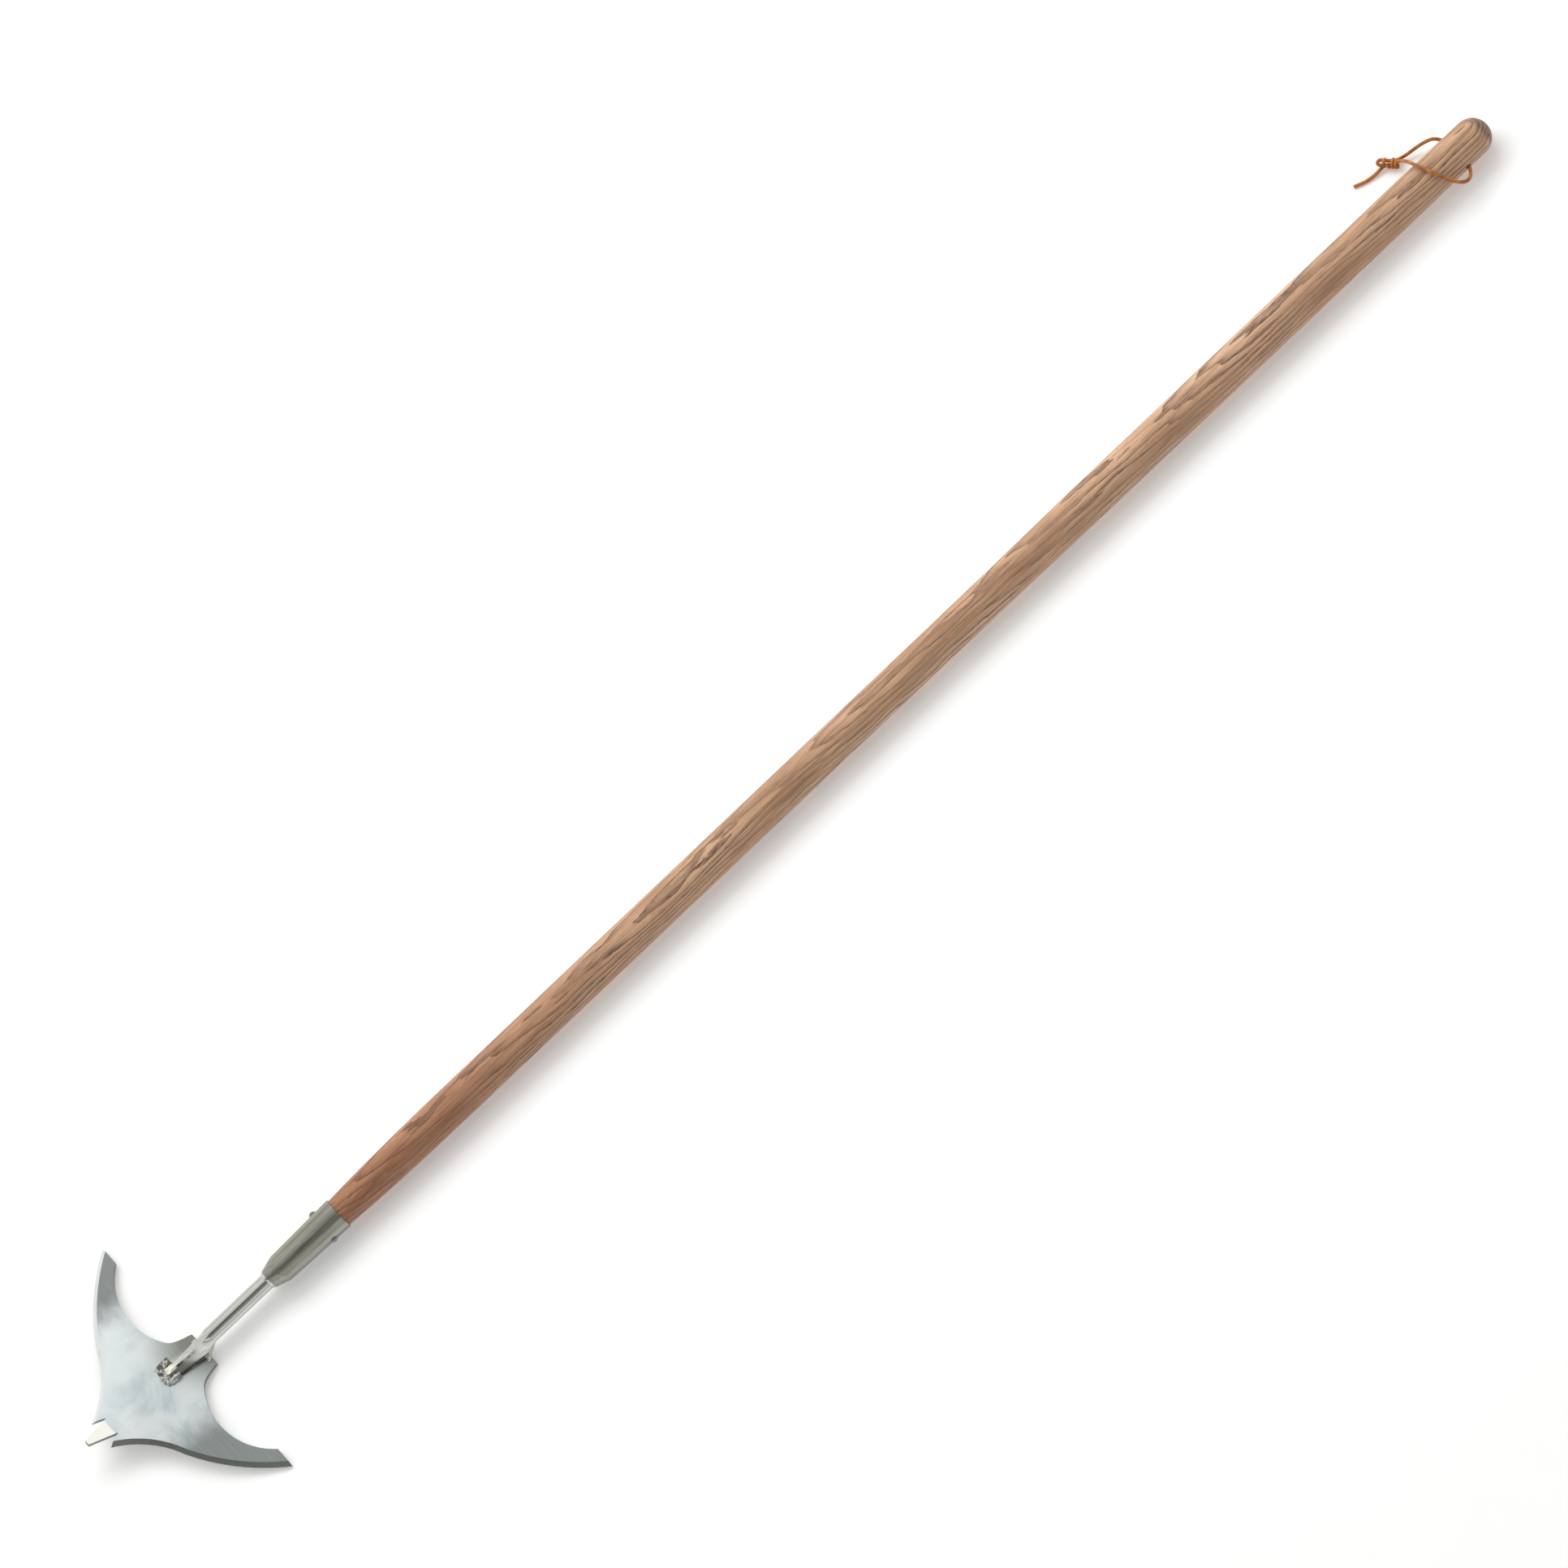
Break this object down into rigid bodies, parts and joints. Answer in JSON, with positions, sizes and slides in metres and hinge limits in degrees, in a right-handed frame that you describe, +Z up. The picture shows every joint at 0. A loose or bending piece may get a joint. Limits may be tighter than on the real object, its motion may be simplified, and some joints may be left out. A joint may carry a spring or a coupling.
{
  "type": "long-handled crescent hoe",
  "caption": "Long-handled crescent hoe: a horned stainless blade with a forked weeding nose on a round neck, riveted to an ash handle with a leather hanging loop.",
  "frame": {"origin": "on the ground, halfway along the tool and on its centre plane, with the tool lying as it does when laid down", "axes": "+X along the handle towards the butt, +Y to the tool's left, +Z up out of the blade's upper face"},
  "size_m": [1.545, 0.25, 0.0395],
  "materials": {
    "handle": "stained, open-grained ash, oiled",
    "socket": "satin, drawn lengthwise",
    "rivet": "satin",
    "neck": "polished lengthwise",
    "blade": "polished, finely scratched",
    "weld": "rippled weld metal",
    "thong": "smooth tan, round lace"
  },
  "bodies": {
    "tool": {"handle": "handle", "socket": "socket", "rivet": "rivet", "neck": "neck", "socket_weld": "weld", "blade": "blade", "toe_weld": "weld", "heel_weld": "weld"},
    "hanging_thong": {"thong_core": "thong", "thong_long_strand": "thong", "thong_short_strand": "thong", "thong_knot": "thong", "thong_tail": "thong"}
  },
  "joints": [
    {"name": "thong_swing", "type": "hinge", "parent": "tool", "child": "hanging_thong", "pos_m": [0.73798, 0, 0.0164], "axis": [0, 1, 0], "range_deg": [0, 100]}
  ]
}
